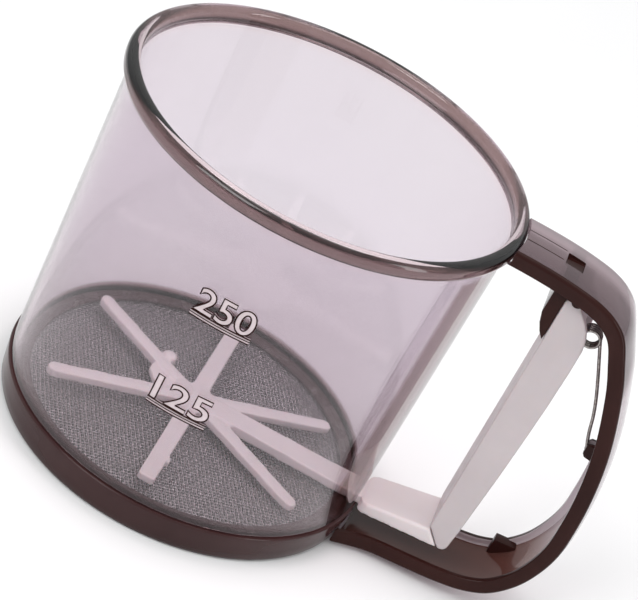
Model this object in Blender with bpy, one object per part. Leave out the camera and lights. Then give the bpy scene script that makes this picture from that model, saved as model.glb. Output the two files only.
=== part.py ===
"""Cup-shaped flour sifter worked with one hand.

A tinted plastic cup with a moulded handle stands on its base ring.  A woven sieve lies on the ring's floor
flange under a thin retaining ring.  A hinged trigger inside the handle is squeezed outwards and pulls a
six-armed agitator across the sieve; a hairpin torsion spring pushes it back against the handle's stop.

All dimensions are in millimetres.  The layout frame has the cup's axis on Z, the base on z = 0 and the
handle on +X; every object is then moved by AXIS_X, so that the whole sifter is centred on the origin.
"""

import math

import bmesh
import bpy
from mathutils import Matrix, Vector

MM = 0.001

# ---------------------------------------------------------------- driving dimensions
RIM_R = 52.5            # outer radius of the rolled rim
RIM_TOP = 96.5          # height of the rim
HANDLE_REACH = 100.327  # outermost face of the handle, from the cup's axis
AXIS_X = -(HANDLE_REACH - RIM_R) / 2

WALL_TOP_R = 50.4       # outer radius of the cup's wall under the rim
WALL_LOW_R = 48.5       # outer radius of the cup's wall above the base ring
MOUTH_R = 49.0          # opening at the rim
BORE_R = 46.6           # inner radius of the cup's wall at the sieve
REBATE_R = 47.6         # the cup's lower edge, inside the base ring's lip
REBATE_Z = 8.6
CUP_LOW_Z = 6.3

RING_R = 49.1           # base ring, outer radius of its lip
RING_LIP_R = 47.9       # inner face of the lip
RING_LIP_Z = 8.3
FLANGE_R = 42.9         # opening of the floor flange that carries the sieve
FLANGE_Z = (4.6, 6.0)
SIEVE_R = 46.2
SIEVE_Z = (6.3, 6.8)
RETAINER_R = (42.7, 46.3)
RETAINER_Z = (7.1, 7.9)

ARM_R = 40.0            # reach of the agitator's arms
ARM_LOW_Z = 8.2         # lowest underside of the arms
ARM_TOP_Z = 11.1        # top of the star at its hub
ARM_DEPTH = 2.1
ARM_RISE = 0.03         # the star's slope: it rises away from the handle
PULL_LOW_Z = 8.65
PULL_TOP_Z = (11.35, 11.05)
SLOT_HALF = 4.8         # half-width of the notch that the pull arm leaves through
SLOT_TOP = 11.6

PIVOT = (70.0, 91.6)    # trigger pivot (x, z)
PIVOT_PIN_R = 0.75
PIVOT_BORE_R = 0.9
HINGE = (72.2, 12.35)   # hinge between the trigger and the agitator (x, z)
HINGE_PIN_R = 0.7
HINGE_BORE_R = 0.9
EYE_RISE = 0.45         # height added to the eye, for the arc that the trigger's end follows

TRIGGER_HALF = 8.1
CHEEK = 2.0
HANDLE_HALF = (10.3, 11.5)  # half-width of the handle's top limb and of its lower limb
HANDLE_ROOT_HALF = 14.4
HANDLE_WALL = 1.65
FLANGE_DEPTH = (4.1, 3.3)   # near and far flange

COIL = (77.9, 80.4)     # centre of the return spring's coil (x, z)
COIL_R = 2.4
WIRE_R = 0.45

STEPS = 72


# ---------------------------------------------------------------- helpers
def clear_scene():
    for obj in list(bpy.data.objects):
        bpy.data.objects.remove(obj)


def material(name, colour, roughness, metallic=0.0):
    made = bpy.data.materials.new(name)
    made.use_nodes = True
    shader = made.node_tree.nodes["Principled BSDF"]
    shader.inputs["Base Color"].default_value = (*colour, 1.0)
    shader.inputs["Roughness"].default_value = roughness
    shader.inputs["Metallic"].default_value = metallic
    made.diffuse_color = (*colour, 1.0)
    return made


def body(name, points, faces, finish=None, origin=(0.0, 0.0, 0.0), smooth=None):
    """One closed mesh, faces out, with its origin at the given point of the layout frame."""
    mesh = bpy.data.meshes.new(name)
    mesh.from_pydata([tuple(c * MM for c in p) for p in points], [], faces)
    bm = bmesh.new()
    bm.from_mesh(mesh)
    bmesh.ops.recalc_face_normals(bm, faces=bm.faces)
    bm.to_mesh(mesh)
    bm.free()
    at = Vector(origin) * MM
    mesh.transform(Matrix.Translation(-at))
    obj = bpy.data.objects.new(name, mesh)
    obj.location = at + Vector((AXIS_X * MM, 0.0, 0.0))
    bpy.context.collection.objects.link(obj)
    if smooth is not None:
        mesh.shade_smooth()
        mesh.set_sharp_from_angle(angle=math.radians(smooth))
    if finish is None:
        obj.hide_render = True
        obj.display_type = "WIRE"
    else:
        mesh.materials.append(finish)
    return obj


def lofted(rings):
    """Points and faces of the closed body through rings of equal length, capped at both ends."""
    count = len(rings[0])
    points = [p for ring in rings for p in ring]
    faces = []
    for i in range(len(rings) - 1):
        for j in range(count):
            k = (j + 1) % count
            faces.append((i * count + j, i * count + k, (i + 1) * count + k, (i + 1) * count + j))
    faces.append(tuple(range(count)))
    faces.append(tuple(range(len(points) - count, len(points))))
    return points, faces


def turned(profile, steps=STEPS):
    """The ring that a closed (radius, height) profile makes round the cup's axis."""
    count = len(profile)
    points = []
    for i in range(steps):
        turn = 2 * math.pi * i / steps
        points += [(r * math.cos(turn), r * math.sin(turn), z) for r, z in profile]
    faces = []
    for i in range(steps):
        after = (i + 1) % steps
        for j in range(count):
            k = (j + 1) % count
            faces.append((i * count + j, i * count + k, after * count + k, after * count + j))
    return points, faces


def turned_solid(profile, steps=STEPS):
    """A solid of revolution whose rings run from its bottom to its top."""
    rings = []
    for r, z in profile:
        rings.append([
            (r * math.cos(2 * math.pi * i / steps), r * math.sin(2 * math.pi * i / steps), z)
            for i in range(steps)
        ])
    return lofted(rings)


def side_prism(outline, y0, y1):
    """An (x, z) outline drawn out along Y."""
    return lofted([[(x, y, z) for x, z in outline] for y in (y0, y1)])


def plan_prism(outline, z0, z1):
    """An (x, y) outline drawn out along Z."""
    return lofted([[(x, y, z) for x, y in outline] for z in (z0, z1)])


def block(x0, x1, y0, y1, z0, z1):
    return plan_prism([(x0, y0), (x1, y0), (x1, y1), (x0, y1)], z0, z1)


def arc(cx, cy, radius, start, end, steps):
    """Points of a circle's arc, from one angle to the other, in degrees."""
    found = []
    for i in range(steps + 1):
        a = math.radians(start + (end - start) * i / steps)
        found.append((cx + radius * math.cos(a), cy + radius * math.sin(a)))
    return found


def cross_rod(x, z, radius, y0, y1, chamfer=0.0, steps=20):
    """A round rod along Y."""
    ends = [(y0, radius - chamfer), (y0 + chamfer, radius), (y1 - chamfer, radius), (y1, radius - chamfer)]
    if chamfer == 0.0:
        ends = [(y0, radius), (y1, radius)]
    return lofted([[(a, y, b) for a, b in arc(x, z, r, 0, 360, steps)[:-1]] for y, r in ends])


def wire(path, radius, sides=6):
    """A round wire along a path, with its section carried along without twisting."""
    path = [Vector(p) for p in path]
    rings = []
    across = Vector((0.0, 1.0, 0.0))
    for i, p in enumerate(path):
        along = (path[min(i + 1, len(path) - 1)] - path[max(i - 1, 0)]).normalized()
        across = (across - along * across.dot(along)).normalized()
        up = along.cross(across)
        rings.append([
            tuple(p + radius * (across * math.cos(a) + up * math.sin(a)))
            for a in (2 * math.pi * j / sides for j in range(sides))
        ])
    return lofted(rings)


def smooth_path(knots, parts):
    """A Catmull-Rom curve through (x, z) knots."""
    found = []
    for i in range(len(knots) - 1):
        p0 = Vector(knots[max(i - 1, 0)])
        p1 = Vector(knots[i])
        p2 = Vector(knots[i + 1])
        p3 = Vector(knots[min(i + 2, len(knots) - 1)])
        for j in range(parts):
            t = j / parts
            found.append(0.5 * (
                2 * p1 + (p2 - p0) * t + (2 * p0 - 5 * p1 + 4 * p2 - p3) * t ** 2
                + (3 * p1 - p0 - 3 * p2 + p3) * t ** 3
            ))
    found.append(Vector(knots[-1]))
    return found


def boolean(obj, tool, operation):
    change = obj.modifiers.new(f"{operation.lower()} {tool.name}", "BOOLEAN")
    change.operation = operation
    change.solver = "EXACT"
    change.object = tool


def rounded(obj, width, segments=2, angle=40.0):
    soft = obj.modifiers.new("soft edges", "BEVEL")
    soft.width = width * MM
    soft.segments = segments
    soft.limit_method = "ANGLE"
    soft.angle_limit = math.radians(angle)


# ---------------------------------------------------------------- cup and sieve
def make_cup(finish):
    profile = [
        (BORE_R, CUP_LOW_Z), (REBATE_R, CUP_LOW_Z), (REBATE_R, REBATE_Z), (WALL_LOW_R, REBATE_Z),
        (WALL_TOP_R, 91.6), (51.1, 91.9), (52.0, 92.6), (RIM_R, 93.7), (RIM_R, 94.9), (52.1, 95.8),
        (51.3, 96.35), (50.4, RIM_TOP), (49.6, 96.3), (MOUTH_R, 95.6), (MOUTH_R, 92.5), (BORE_R, REBATE_Z),
    ]
    cup = body("cup_body", *turned(profile), finish, smooth=40)
    notch = body("notch_cutter", *block(44.0, 54.0, -SLOT_HALF, SLOT_HALF, 3.0, SLOT_TOP))
    boolean(cup, notch, "DIFFERENCE")


def make_base_ring(finish):
    profile = [
        (46.1, 0.0), (47.4, 0.0), (48.0, 0.35), (48.4, 1.2), (RING_R, 7.9), (RING_R - 0.25, RING_LIP_Z),
        (RING_LIP_R, RING_LIP_Z), (RING_LIP_R, FLANGE_Z[1]), (FLANGE_R, FLANGE_Z[1]),
        (FLANGE_R, FLANGE_Z[0]), (46.1, FLANGE_Z[0]),
    ]
    body("base_ring", *turned(profile), finish, smooth=40)


def make_retaining_ring(finish):
    low, high = RETAINER_Z
    inner, outer = RETAINER_R
    profile = [(inner, low), (outer, low), (outer, high), (inner + 0.4, high), (inner, high - 0.3)]
    body("mesh_retaining_ring", *turned(profile), finish, smooth=40)


def make_sieve(finish):
    circle = arc(0.0, 0.0, SIEVE_R, 0, 360, STEPS)[:-1]
    body("sieve_mesh", *plan_prism(circle, *SIEVE_Z), finish, smooth=40)


# ---------------------------------------------------------------- agitator
def star_outline(arms, fillet):
    """Outline of arms round a hub.  Each arm is (angle, root half-width, tip half-width, reach, squared)."""
    found = []
    for index, (angle, root, tip, reach, squared) in enumerate(arms):
        a = math.radians(angle)
        along = Vector((math.cos(a), math.sin(a)))
        left = Vector((-along.y, along.x))
        if squared:
            end = [(reach - 1.2, -tip), (reach, -tip + 1.0), (reach, tip - 1.0), (reach - 1.2, tip)]
        else:
            end = arc(reach - tip, 0.0, tip, -90, 90, 6)
        found += [along * u + left * v for u, v in end]
        # The fillet into the next arm bends round the point where their two edges would meet.
        after = arms[(index + 1) % len(arms)]
        b = math.radians(after[0])
        next_along = Vector((math.cos(b), math.sin(b)))
        next_right = Vector((next_along.y, -next_along.x))
        turn = along.cross(next_along)
        offset = next_right * after[1] - left * root
        corner = left * root + along * (offset.cross(next_along) / turn)
        start = corner + along * fillet
        stop = corner + next_along * fillet
        for t in (0.0, 0.33, 0.67, 1.0):
            found.append(start * (1 - t) ** 2 + corner * 2 * t * (1 - t) + stop * t ** 2)
    return [tuple(p) for p in found]


def make_agitator(finish):
    arms = [
        (0.0, 3.4, 3.4, 18.0, True),
        (30.0, 2.1, 1.8, ARM_R, False),
        (90.0, 2.3, 2.1, ARM_R, True),
        (150.0, 2.1, 1.8, ARM_R, False),
        (210.0, 2.1, 1.8, ARM_R, False),
        (270.0, 2.3, 2.1, ARM_R, True),
        (330.0, 2.1, 1.8, ARM_R, False),
    ]
    outline = star_outline(arms, 3.0)
    low = [(x, y, max(ARM_LOW_Z, ARM_TOP_Z - ARM_DEPTH - ARM_RISE * x)) for x, y in outline]
    top = [(x, y, ARM_TOP_Z - ARM_RISE * x) for x, y in outline]
    star = body("agitator", *lofted([low, top]), finish, smooth=35)
    rounded(star, 0.7)

    rings = []
    for x, half, top in ((1.5, 2.4, PULL_TOP_Z[0]), (4.0, 3.2, PULL_TOP_Z[0]), (52.5, 4.2, PULL_TOP_Z[1])):
        rings.append([(x, -half, PULL_LOW_Z), (x, half, PULL_LOW_Z), (x, half, top), (x, -half, top)])
    pull = body("pull_arm", *lofted(rings))
    rounded(pull, 0.5)
    boolean(star, pull, "UNION")

    # The strip outside the cup widens and rises towards the trigger, and ends in a mitre.
    stations = [
        (49.2, 49.2, 5.6, 8.70, 11.2), (49.7, 49.6, 6.6, 8.65, 11.45),
        (51.0, 50.8, 7.2, 8.60, 11.75), (67.9, 71.4, TRIGGER_HALF, 10.75, 14.7),
    ]
    rings = []
    for x_top, x_low, half, low, top in stations:
        rings.append([
            (x_low, -half, low), (x_top + 0.4, -half, top - 0.5), (x_top, -half + 0.5, top),
            (x_top, half - 0.5, top), (x_top + 0.4, half, top - 0.5), (x_low, half, low),
        ])
    boolean(star, body("strip", *lofted(rings)), "UNION")

    # A tongue between the trigger's cheeks carries the eye of the hinge.
    tongue = [(64.0, 10.5), (73.3, 10.5), (74.1, 11.3), (74.1, 13.6), (73.1, 14.6), (66.9, 14.4), (64.0, 12.5)]
    inner = TRIGGER_HALF - CHEEK - 0.4
    boolean(star, body("tongue", *side_prism(tongue, -inner, inner)), "UNION")

    web = [(-3.0, -4.2), (-9.5, -3.6), (-11.8, -1.0), (-13.9, 2.2), (-14.0, 4.6), (-12.4, 7.6), (-3.0, 4.0)]
    boolean(star, body("hub_web", *plan_prism(web, ARM_LOW_Z + 1.1, 11.0)), "UNION")
    knob = [(2.0, ARM_LOW_Z + 1.0), (2.0, 11.5), (1.7, 12.1), (1.0, 12.4)]
    points, faces = turned_solid(knob, 16)
    points = [(x - 11.2, y + 10.2, z) for x, y, z in points]
    boolean(star, body("gate_knob", points, faces), "UNION")

    half = HINGE_BORE_R
    eye = arc(HINGE[0], HINGE[1], half, -180, 0, 8) + arc(HINGE[0], HINGE[1] + EYE_RISE, half, 0, 180, 8)
    boolean(star, body("eye_cutter", *side_prism(eye, -12.0, 12.0)), "DIFFERENCE")
    tab = body("arm_tab", *block(1.0, 2.9, -30.4, -28.4, ARM_LOW_Z + 1.0, 10.7))
    boolean(star, tab, "UNION")


# ---------------------------------------------------------------- trigger
def make_trigger(finish):
    outline = [(67.5, 15.7), (67.5, 89.4)]
    outline += arc(*PIVOT, 1.4, 165, 0, 9)
    outline += [
        (71.6, 90.2), (71.9, 89.2), (72.9, 88.1), (74.4, 86.5), (75.7, 84.6), (76.7, 82.2), (77.15, 79.5), (77.2, 73.0),
        (77.0, 62.0), (76.5, 50.0), (75.9, 38.0), (74.6, 18.0), (74.0, 12.0), (73.4, 11.1), (72.6, 10.8),
        (71.7, 10.8),
    ]
    at = (PIVOT[0], 0.0, PIVOT[1])
    trigger = body("trigger", *side_prism(outline, -TRIGGER_HALF, TRIGGER_HALF), finish, at, smooth=35)
    rounded(trigger, 0.45)
    inner = TRIGGER_HALF - CHEEK
    channel = [(69.5, 6.0), (69.5, 84.0), (71.4, 86.6), (84.0, 86.6), (84.0, 6.0)]
    boolean(trigger, body("channel_cutter", *side_prism(channel, -inner, inner)), "DIFFERENCE")
    window = body("tongue_window_cutter", *block(65.0, 72.0, -inner, inner, 6.0, 15.2))
    boolean(trigger, window, "DIFFERENCE")
    bore = body("trigger_bore_cutter", *cross_rod(*PIVOT, PIVOT_BORE_R, -12.0, 12.0, steps=16))
    boolean(trigger, bore, "DIFFERENCE")
    reach = TRIGGER_HALF - 0.35
    hinge = body("hinge_bore_cutter", *cross_rod(*HINGE, HINGE_BORE_R, -reach, reach, steps=16))
    boolean(trigger, hinge, "DIFFERENCE")


def make_pins(steel):
    body("trigger_pivot_pin", *cross_rod(*PIVOT, PIVOT_PIN_R, -9.6, 9.6, 0.2, 16), steel, smooth=40)
    reach = TRIGGER_HALF - 0.6
    at = (HINGE[0], 0.0, HINGE[1])
    body("hinge_pin", *cross_rod(*HINGE, HINGE_PIN_R, -reach, reach, 0.2, 16), steel, at, smooth=40)


# ---------------------------------------------------------------- handle
def handle_rings():
    """Channel sections, open inwards, along the flange's outer edge from the rim down to the base."""
    knots = [
        (45.5, 95.9), (56.5, 95.9), (64.0, 95.6), (70.0, 95.0), (75.5, 94.0), (80.2, 92.1), (84.2, 88.7),
        (87.6, 82.5), (90.8, 75.4), (94.7, 63.8), (97.0, 54.0), (98.4, 44.0), (98.9, 35.0), (98.7, 27.5),
        (97.1, 20.6), (94.0, 13.8), (89.0, 8.0), (83.0, 4.9), (76.0, 3.4), (68.5, 2.6), (57.0, 1.7),
        (52.0, 1.3), (44.0, 0.95),
    ]
    path = smooth_path(knots, 2)
    rings = []
    for i, p in enumerate(path):
        along = (path[min(i + 1, len(path) - 1)] - path[max(i - 1, 0)]).normalized()
        out = Vector((-along.y, along.x))
        share = i / (len(path) - 1)
        crown = 0.6 + 0.8 * math.sin(math.pi * min(max((share - 0.25) / 0.6, 0.0), 1.0))
        flare = min(max((60.0 - p.x) / 12.0, 0.0), 1.0) if share > 0.5 else 0.0
        half = HANDLE_HALF[0] + (HANDLE_HALF[1] - HANDLE_HALF[0]) * share
        half += (HANDLE_ROOT_HALF - half) * flare ** 2
        t = HANDLE_WALL
        near, far = FLANGE_DEPTH
        section = [(-half, -near), (-half, -0.9), (-half + 0.3, -0.3), (-half + 0.9, 0.02)]
        for y in (-0.6, -0.3, 0.0, 0.3, 0.6):
            section.append((y * half, crown * (1 - 1.8 * y * y)))
        section += [(half - 0.9, 0.02), (half - 0.3, -0.3), (half, -0.9), (half, -far), (half - t, -far)]
        section.append((half - t, -t))
        for y in (0.45, 0.0, -0.45):
            section.append((y * half, -t + crown * (1 - 1.8 * y * y)))
        section += [(t - half, -t), (t - half, -near)]
        rings.append([(p.x - out.x * -v, u, p.y + out.y * v) for u, v in section])
    return rings


def make_handle(finish):
    handle = body("handle", *lofted(handle_rings()), finish, smooth=30)

    # The stop that the trigger rests against, moulded under the top limb.
    ear = [
        (64.0, 95.0), (63.9, 84.0), (64.7, 81.2), (65.8, 79.0), (67.15, 77.2), (67.15, 79.4),
        (66.6, 81.4), (66.3, 84.0), (66.4, 95.0),
    ]
    boolean(handle, body("rest_stop", *side_prism(ear, -4.0, 4.0)), "UNION")
    for side, y0, y1 in (("near", -10.0, -8.4), ("far", 8.4, 10.0)):
        boolean(handle, body(f"pivot_boss_{side}", *cross_rod(*PIVOT, 1.5, y0, y1)), "UNION")
    wedge = [(84.7, 6.0), (90.9, 11.0), (90.9, 12.2), (84.9, 11.6)]
    boolean(handle, body("squeeze_stop", *side_prism(wedge, 7.0, 10.6)), "UNION")
    clip = [(91.0, 51.8), (91.7, 50.9), (97.4, 50.3), (96.8, 55.2), (91.7, 54.8), (91.0, 54.0)]
    boolean(handle, body("spring_clip", *side_prism(clip, -1.9, 1.9)), "UNION")

    bore = body("boss_bore_cutter", *cross_rod(*PIVOT, PIVOT_BORE_R, -9.75, 9.75, steps=16))
    boolean(handle, bore, "DIFFERENCE")
    slot = body("clip_slot_cutter", *block(89.0, 94.4, -0.85, 0.85, 40.0, 60.0))
    boolean(handle, slot, "DIFFERENCE")
    pocket = body("pocket_cutter", *block(63.2, 68.0, -2.2, 2.2, 95.2, 99.0))
    boolean(handle, pocket, "DIFFERENCE")

    # Both roots are shaped to the cup's wall, its rim and the base ring.
    clear = 0.3
    cup = [
        (RING_R + clear, -4.0), (RING_R + clear, REBATE_Z), (WALL_TOP_R + clear, 91.3),
        (RIM_R + clear, 92.4), (RIM_R + clear, 101.0),
    ]
    boolean(handle, body("cup_clearance_cutter", *turned_solid(cup)), "DIFFERENCE")


# ---------------------------------------------------------------- return spring
def make_spring(steel):
    """A hairpin torsion spring: one leg in the trigger's channel, the other hooked in the handle's clip."""
    cx, cz = COIL
    turns = 3.4
    lead = 1.05
    y0 = -lead * turns / 2
    path = [(73.4, y0, 62.6), (73.2, y0, 63.6)]
    steps = int(turns * 16)
    start = 183.0
    end = start + 24.3 - 360.0 * (turns + 0.03)
    for i in range(steps + 1):
        t = i / steps
        a = math.radians(start + (end - start) * t)
        path.append((cx + COIL_R * math.cos(a), y0 - 2 * y0 * t, cz + COIL_R * math.sin(a)))
    path += [
        (81.6, -y0, 77.3), (84.5, -y0 * 0.8, 71.2), (87.0, -y0 * 0.55, 65.6), (88.7, -y0 * 0.35, 61.0),
        (89.8, -y0 * 0.15, 57.0), (90.9, 0.0, 53.9), (91.5, 0.0, 52.9), (92.3, 0.0, 52.6), (93.0, 0.0, 53.0),
        (93.2, 0.0, 53.8),
    ]
    body("return_spring", *wire(path, WIRE_R), steel, smooth=60)


def main():
    clear_scene()
    tinted = material("tinted_plastic", (0.33, 0.22, 0.21), 0.12)
    dark = material("dark_tinted_plastic", (0.16, 0.09, 0.09), 0.15)
    pale = material("pale_plastic", (0.72, 0.64, 0.65), 0.45)
    sieve = material("woven_steel", (0.52, 0.52, 0.52), 0.4, 1.0)
    steel = material("spring_steel", (0.62, 0.61, 0.6), 0.25, 1.0)
    pin = material("pin_steel", (0.7, 0.7, 0.7), 0.3, 1.0)
    make_cup(tinted)
    make_base_ring(dark)
    make_retaining_ring(dark.copy())
    make_sieve(sieve)
    make_agitator(pale)
    make_trigger(pale.copy())
    make_pins(pin)
    make_handle(tinted.copy())
    make_spring(steel)


main()
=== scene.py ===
"""Looks of the flour sifter: tinted clear plastic, woven steel sieve, pale trigger and agitator.

Shapes are written in millimetres in the layout frame, with the cup's axis on Z, the base on z = 0 and the
handle on +X.  AXIS_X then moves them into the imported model's frame, and MM makes metres of them.
"""

import math

import bmesh
import bpy
import numpy as np
from mathutils import Matrix, Vector


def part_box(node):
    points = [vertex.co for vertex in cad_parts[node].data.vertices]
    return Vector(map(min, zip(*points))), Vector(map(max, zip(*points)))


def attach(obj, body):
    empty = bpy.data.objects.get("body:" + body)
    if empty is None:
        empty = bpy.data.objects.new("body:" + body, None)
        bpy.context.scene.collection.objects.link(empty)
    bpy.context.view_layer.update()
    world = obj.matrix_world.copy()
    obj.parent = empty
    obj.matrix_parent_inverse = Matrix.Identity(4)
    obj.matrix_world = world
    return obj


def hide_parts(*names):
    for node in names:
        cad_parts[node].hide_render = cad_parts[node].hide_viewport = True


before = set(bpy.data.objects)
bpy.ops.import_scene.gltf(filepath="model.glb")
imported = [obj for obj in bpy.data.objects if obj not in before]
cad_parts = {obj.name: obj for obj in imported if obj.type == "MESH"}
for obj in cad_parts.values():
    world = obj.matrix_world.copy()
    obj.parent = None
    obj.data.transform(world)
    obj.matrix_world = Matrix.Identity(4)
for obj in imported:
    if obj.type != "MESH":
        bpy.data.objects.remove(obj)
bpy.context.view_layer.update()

MM = 0.001
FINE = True


def box_mm(node):
    """Lowest and highest corner of a CAD node, in millimetres."""
    low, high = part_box(node)
    return low / MM, high / MM


# ---------------- sizes that come from the frame
SIEVE_BOX = box_mm("sieve_mesh")
CUP_BOX = box_mm("cup_body")
RING_BOX = box_mm("base_ring")
RETAINER_BOX = box_mm("mesh_retaining_ring")
TRIGGER_BOX = box_mm("trigger")
PIN_BOX = box_mm("trigger_pivot_pin")
HINGE_BOX = box_mm("hinge_pin")

AXIS_X = (SIEVE_BOX[0].x + SIEVE_BOX[1].x) / 2
RIM_R = (CUP_BOX[1].x - CUP_BOX[0].x) / 2
BEAD_SHADE_R = RIM_R - 1.1  # outside it the rim's bead is painted with shade: a near-black line, then a brown face
RIM_TOP = CUP_BOX[1].z
CUP_LOW_Z = CUP_BOX[0].z
RING_R = (RING_BOX[1].x - RING_BOX[0].x) / 2
RING_LIP_Z = RING_BOX[1].z
SIEVE_R = (SIEVE_BOX[1].x - SIEVE_BOX[0].x) / 2
SIEVE_MID_Z = (SIEVE_BOX[0].z + SIEVE_BOX[1].z) / 2
WEAVE_THICK = SIEVE_BOX[1].z - SIEVE_BOX[0].z
RETAINER_R = (RETAINER_BOX[1].x - RETAINER_BOX[0].x) / 2
RETAINER_Z = (RETAINER_BOX[0].z, RETAINER_BOX[1].z)
TRIGGER_HALF = TRIGGER_BOX[1].y
PIVOT = ((PIN_BOX[0].x + PIN_BOX[1].x) / 2 - AXIS_X, (PIN_BOX[0].z + PIN_BOX[1].z) / 2)
PIVOT_PIN_R = (PIN_BOX[1].z - PIN_BOX[0].z) / 2
HINGE = ((HINGE_BOX[0].x + HINGE_BOX[1].x) / 2 - AXIS_X, (HINGE_BOX[0].z + HINGE_BOX[1].z) / 2)
HINGE_PIN_R = (HINGE_BOX[1].z - HINGE_BOX[0].z) / 2

# ---------------- the other shapes, as in the CAD model or finer than it
WALL_TOP_R = 50.4       # outer radius of the wall under the rim
WALL_TOP_Z = 91.6
WALL_LOW_R = 48.5       # outer radius of the wall above the base ring
WALL_SPANS = 24
MOUTH_R = 49.0          # bore at the rim
MOUTH_Z = 92.5
BORE_R = 46.6           # bore above the rebate
REBATE_R = 47.6         # the cup's foot, where it drops into the base ring
REBATE_Z = 8.6
REBATE_SOFT = 0.25
BAND_TURN = (-29.0, 2.0)    # azimuths, in degrees, between which the wall's tint is deeper, by the handle
BAND_Z = (13.0, 88.5)

RING_LIP_R = 47.9
FLANGE_R = 42.9         # opening of the base ring's floor flange, which the sieve lies on
FLANGE_Z = (4.6, 6.0)
RETAINER_BORE = 42.7

WEAVE_PITCH = 1.05
UNDER_WEAVE_R = FLANGE_R - 0.7
WIRE_SHARE = 0.32       # wire radius, as a share of the cloth's thickness
WEAVE_TURN = 24.0       # angle of the weave to the handle, in degrees

ARM_R = 40.0
ARM_LOW_Z = 8.2
ARM_TOP_Z = 11.1        # at the cup's axis
ARM_DEPTH = 2.1
ARM_RISE = 0.03         # the star's slope, upwards away from the handle
ARM_FILLET = 3.0
ARM_CORNER_R = 0.8      # corners of the two square-ended arms and of the hub's front
RIDGE_START = 7.0       # where the half-round tops begin
PULL_LOW_Z = 8.65
PULL_TOP_Z = (11.35, 11.05)
SLOT_X = (44.0, 54.0)   # the notch in the wall that the pull arm passes through
SLOT_HALF = 4.8
SLOT_LOW = 3.0
SLOT_TOP = 11.6
SLOT_SOFT = 0.9

CHEEK = 2.0             # thickness of the trigger's side walls
HINGE_BORE_R = 0.9
PIVOT_BORE_R = 0.9
EYE_RISE = 0.45         # the hinge's eye is this much taller than it is wide
CUT_HALF = 12.0         # half-length of a cutter that goes right through
RIBS_AT = (30.0, 47.0)
RIB_THICK = 1.2

HANDLE_HALF = (10.3, 11.5)  # half-width at the rim and at the base
HANDLE_ROOT_HALF = 14.4     # where the lower limb flares into the base ring
HANDLE_WALL = 1.65
FLANGE_DEPTH = (4.1, 3.3)   # the channel's near and far sides
EAR_GAP = 0.3               # from the ear's side to the trigger's
BOSS_Y = (8.4, 10.0)
BOSS_R = 1.5
STOP_Y = (7.0, 10.6)
CLIP_HALF = 1.9
SPRING_SLOT = (89.0, 94.4, -0.85, 0.85, 40.0, 60.0)     # blocks, as x, y and z from and to
POCKET = (63.2, 68.0, -3.3, 2.2, 95.2, 99.0)
GROOVE_X = (50.0, 62.6)     # two fine grooves along the top limb
GROOVES_AT = (-2.5, 2.5)
GROOVE_HALF = 0.16
GROOVE_LOW = 96.2
ABOVE_ALL = 99.0
CUP_CLEAR = 0.04            # the gap between the handle and the cup

COIL = (77.9, 80.4)     # x and z of the spring's coil
COIL_R = 2.4
COIL_TURNS = 3.4
COIL_PITCH = 1.05
COIL_START = 183.0
COIL_LEG_TURN = 24.3    # from the first leg's angle to the second's, in degrees
WIRE_R = 0.45

MARK_TURN = -90.5       # azimuth of the volume marks, in degrees
MARK_WIDE = 14.6
MARK_TALL = 6.8
MARK_PROUD = 0.42
MARK_SINK = 0.12        # how deep the marks start in the wall
MARK_LIFT = 0.8         # from the line up to the digits
EDGE_R = 0.19
LINE_EDGES = ((0.62, 0.2), (-0.05, 0.12), (-0.72, 0.16))    # (height, radius) of the dark beads of painted shade on a line
LINE_SPANS = 30
MARKS = (("125", 36.5), ("250", 63.2))

# ---------------- fineness, studio and camera
STEPS = 360 if FINE else 180
SKIN_VOXEL = 0.28 if FINE else 0.45
SKIN_PASSES = 4

FLOOR_HALF = 3000.0
FLOOR_THICK = 20.0
FLOOR_GAP = 0.05
STUDIO_MIDDLE = (0.0, 0.0, 0.05)    # metres, as are the lights' places and sizes
LIGHTS = (              # name, place, size, power in watts
    ("key", (-0.55, -0.75, 0.95), (0.7, 0.7), 8.0),
    ("top", (0.0, 0.15, 1.35), (0.9, 0.6), 4.0),
    ("side_strip", (1.0, -0.35, 0.45), (0.25, 0.9), 3.0),
)

CAMERA_TURN = -0.886    # azimuth of the view, in degrees: 0 looks along +Y
CAMERA_RISE = 29.373    # angle above the horizon
CAMERA_ROLL = 29.013
CAMERA_AIM = Vector((5.288, 1.757, 57.809))
CAMERA_AWAY = 590.0
CAMERA_LENS = 135.416
CAMERA_SHIFT = (-0.088785, 0.012690)

WHITE = (1.0, 1.0, 1.0)


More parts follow.
